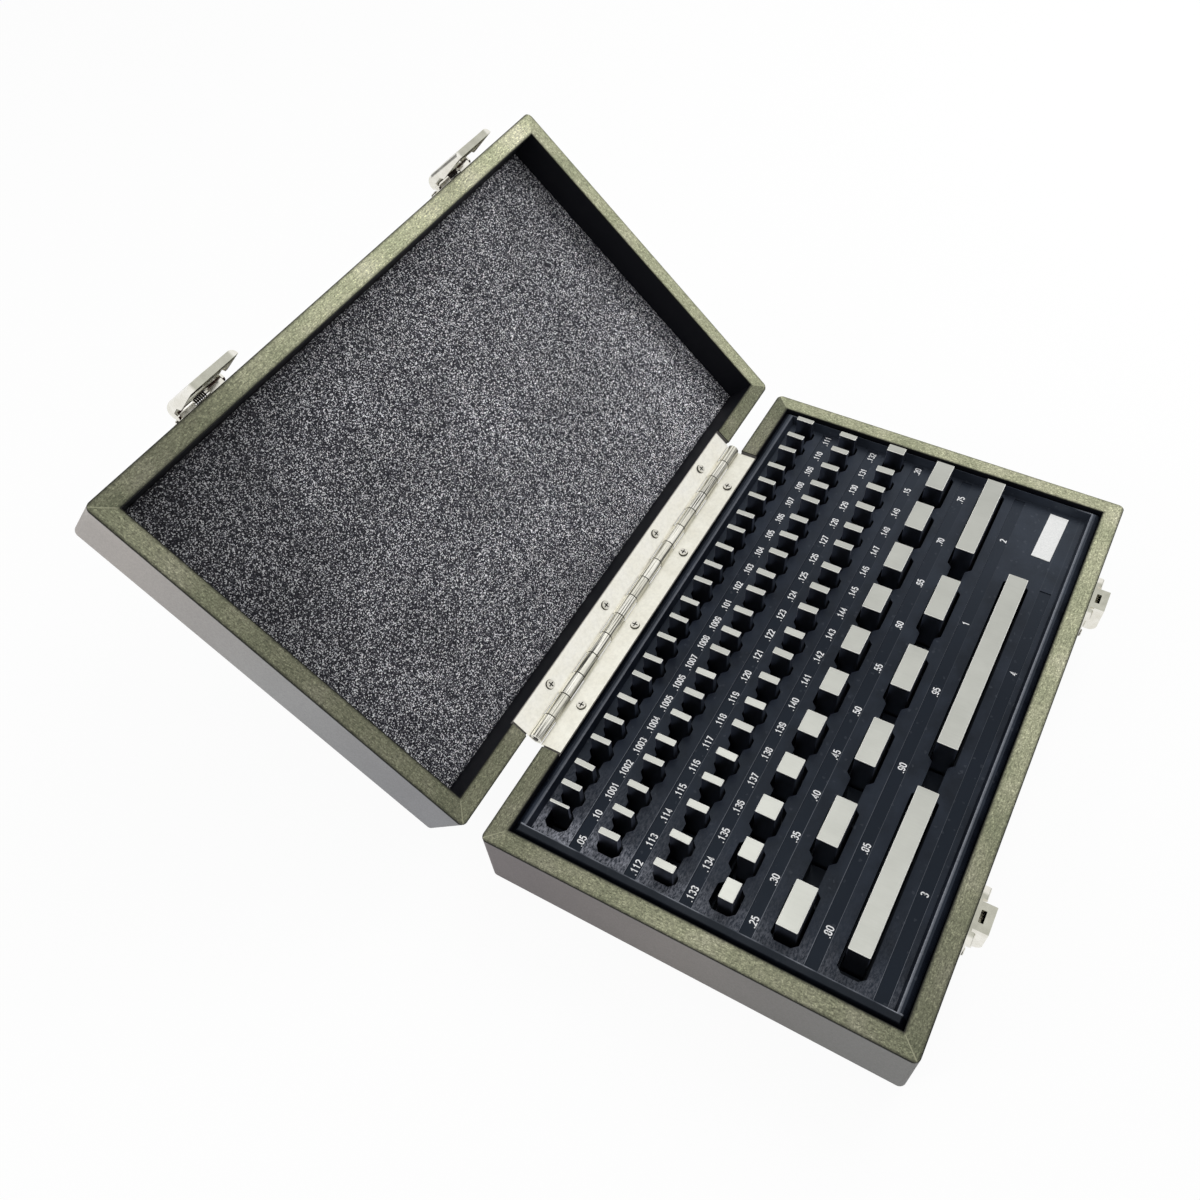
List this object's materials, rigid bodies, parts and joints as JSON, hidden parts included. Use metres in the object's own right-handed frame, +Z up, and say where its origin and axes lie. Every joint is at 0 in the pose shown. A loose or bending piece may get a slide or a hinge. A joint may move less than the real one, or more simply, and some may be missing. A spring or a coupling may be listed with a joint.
{
  "type": "gauge block case",
  "caption": "Wooden case with a long hinged lid, foam pad, two snap latches and a moulded tray that holds a graded inch set of steel gauge blocks.",
  "frame": {"origin": "on the bench under the middle of the case's base, lid open as in the picture", "axes": "+X along the hinge, -Y towards the latches, +Y towards the hinge, +Z up"},
  "size_m": [0.298, 0.3602, 0.1818],
  "materials": {
    "case_wood": "matt khaki-stained, clear finish",
    "panel_wood": "matt painted grey-brown",
    "tray_plastic": "satin black moulding",
    "foam": "open grey foam, speckled",
    "label": "blank white paper label",
    "gauge_steel": "lapped and fine ground",
    "spring_brass": "drawn wire",
    "hinge_metal": "satin nickel plate",
    "screw_steel": "satin nickel plate",
    "latch_metal": "bright nickel plate"
  },
  "bodies": {
    "base": {"base_back_board": "case_wood", "base_bottom_panel": "panel_wood", "base_front_board": "case_wood", "base_left_board": "case_wood", "base_right_board": "case_wood", "blocks_row_1": "gauge_steel", "blocks_row_2": "gauge_steel", "blocks_row_3": "gauge_steel", "hinge_base_leaf": "hinge_metal", "hinge_base_screws": "screw_steel", "hinge_pin": "hinge_metal", "label_plate": "label", "latch_base_screws": "screw_steel", "left_keeper": "latch_metal", "right_keeper": "latch_metal", "tray": "tray_plastic"},
    "lid": {"foam_pad": "foam", "hinge_lid_leaf": "hinge_metal", "hinge_lid_screws": "screw_steel", "latch_lid_screws": "screw_steel", "left_latch_pin": "latch_metal", "left_latch_spring": "spring_brass", "left_lid_plate": "latch_metal", "lid_back_board": "case_wood", "lid_front_board": "case_wood", "lid_left_board": "case_wood", "lid_right_board": "case_wood", "lid_top_panel": "panel_wood", "right_latch_pin": "latch_metal", "right_latch_spring": "spring_brass", "right_lid_plate": "latch_metal"},
    "left_hasp": {"left_hasp": "latch_metal"},
    "right_hasp": {"right_hasp": "latch_metal"},
    "block_0250": {"block_0250": "gauge_steel"},
    "block_0300": {"block_0300": "gauge_steel"},
    "block_0350": {"block_0350": "gauge_steel"},
    "block_0400": {"block_0400": "gauge_steel"},
    "block_0450": {"block_0450": "gauge_steel"},
    "block_0500": {"block_0500": "gauge_steel"},
    "block_0550": {"block_0550": "gauge_steel"},
    "block_0600": {"block_0600": "gauge_steel"},
    "block_0650": {"block_0650": "gauge_steel"},
    "block_0700": {"block_0700": "gauge_steel"},
    "block_0750": {"block_0750": "gauge_steel"},
    "block_0800": {"block_0800": "gauge_steel"},
    "block_0850": {"block_0850": "gauge_steel"},
    "block_0900": {"block_0900": "gauge_steel"},
    "block_0950": {"block_0950": "gauge_steel"},
    "block_1000": {"block_1000": "gauge_steel"},
    "block_2000": {"block_2000": "gauge_steel"},
    "block_3000": {"block_3000": "gauge_steel"},
    "block_4000": {"block_4000": "gauge_steel"}
  },
  "joints": [
    {"name": "lid_hinge", "type": "hinge", "parent": "base", "child": "lid", "pos_m": [0, 0.09735, 0.03415], "axis": [-1, 0, 0], "range_deg": [-137.8, 42.2]},
    {"name": "left_hasp_hinge", "type": "hinge", "parent": "lid", "child": "left_hasp", "pos_m": [-0.086, 0.24126, 0.16194], "axis": [-1, 0, 0], "range_deg": [0, 28], "stiffness_Nm_per_rad": 0.01, "springref_deg": -17.19},
    {"name": "right_hasp_hinge", "type": "hinge", "parent": "lid", "child": "right_hasp", "pos_m": [0.086, 0.24126, 0.16194], "axis": [-1, 0, 0], "range_deg": [0, 28], "stiffness_Nm_per_rad": 0.01, "springref_deg": -17.19},
    {"name": "block_0250_lift", "type": "slide", "parent": "base", "child": "block_0250", "axis": [0, 0, 1], "range_m": [0, 0.04]},
    {"name": "block_0300_lift", "type": "slide", "parent": "base", "child": "block_0300", "axis": [0, 0, 1], "range_m": [0, 0.04]},
    {"name": "block_0350_lift", "type": "slide", "parent": "base", "child": "block_0350", "axis": [0, 0, 1], "range_m": [0, 0.04]},
    {"name": "block_0400_lift", "type": "slide", "parent": "base", "child": "block_0400", "axis": [0, 0, 1], "range_m": [0, 0.04]},
    {"name": "block_0450_lift", "type": "slide", "parent": "base", "child": "block_0450", "axis": [0, 0, 1], "range_m": [0, 0.04]},
    {"name": "block_0500_lift", "type": "slide", "parent": "base", "child": "block_0500", "axis": [0, 0, 1], "range_m": [0, 0.04]},
    {"name": "block_0550_lift", "type": "slide", "parent": "base", "child": "block_0550", "axis": [0, 0, 1], "range_m": [0, 0.04]},
    {"name": "block_0600_lift", "type": "slide", "parent": "base", "child": "block_0600", "axis": [0, 0, 1], "range_m": [0, 0.04]},
    {"name": "block_0650_lift", "type": "slide", "parent": "base", "child": "block_0650", "axis": [0, 0, 1], "range_m": [0, 0.04]},
    {"name": "block_0700_lift", "type": "slide", "parent": "base", "child": "block_0700", "axis": [0, 0, 1], "range_m": [0, 0.04]},
    {"name": "block_0750_lift", "type": "slide", "parent": "base", "child": "block_0750", "axis": [0, 0, 1], "range_m": [0, 0.04]},
    {"name": "block_0800_lift", "type": "slide", "parent": "base", "child": "block_0800", "axis": [0, 0, 1], "range_m": [0, 0.04]},
    {"name": "block_0850_lift", "type": "slide", "parent": "base", "child": "block_0850", "axis": [0, 0, 1], "range_m": [0, 0.04]},
    {"name": "block_0900_lift", "type": "slide", "parent": "base", "child": "block_0900", "axis": [0, 0, 1], "range_m": [0, 0.04]},
    {"name": "block_0950_lift", "type": "slide", "parent": "base", "child": "block_0950", "axis": [0, 0, 1], "range_m": [0, 0.04]},
    {"name": "block_1000_lift", "type": "slide", "parent": "base", "child": "block_1000", "axis": [0, 0, 1], "range_m": [0, 0.04]},
    {"name": "block_2000_lift", "type": "slide", "parent": "base", "child": "block_2000", "axis": [0, 0, 1], "range_m": [0, 0.04]},
    {"name": "block_3000_lift", "type": "slide", "parent": "base", "child": "block_3000", "axis": [0, 0, 1], "range_m": [0, 0.04]},
    {"name": "block_4000_lift", "type": "slide", "parent": "base", "child": "block_4000", "axis": [0, 0, 1], "range_m": [0, 0.04]}
  ]
}
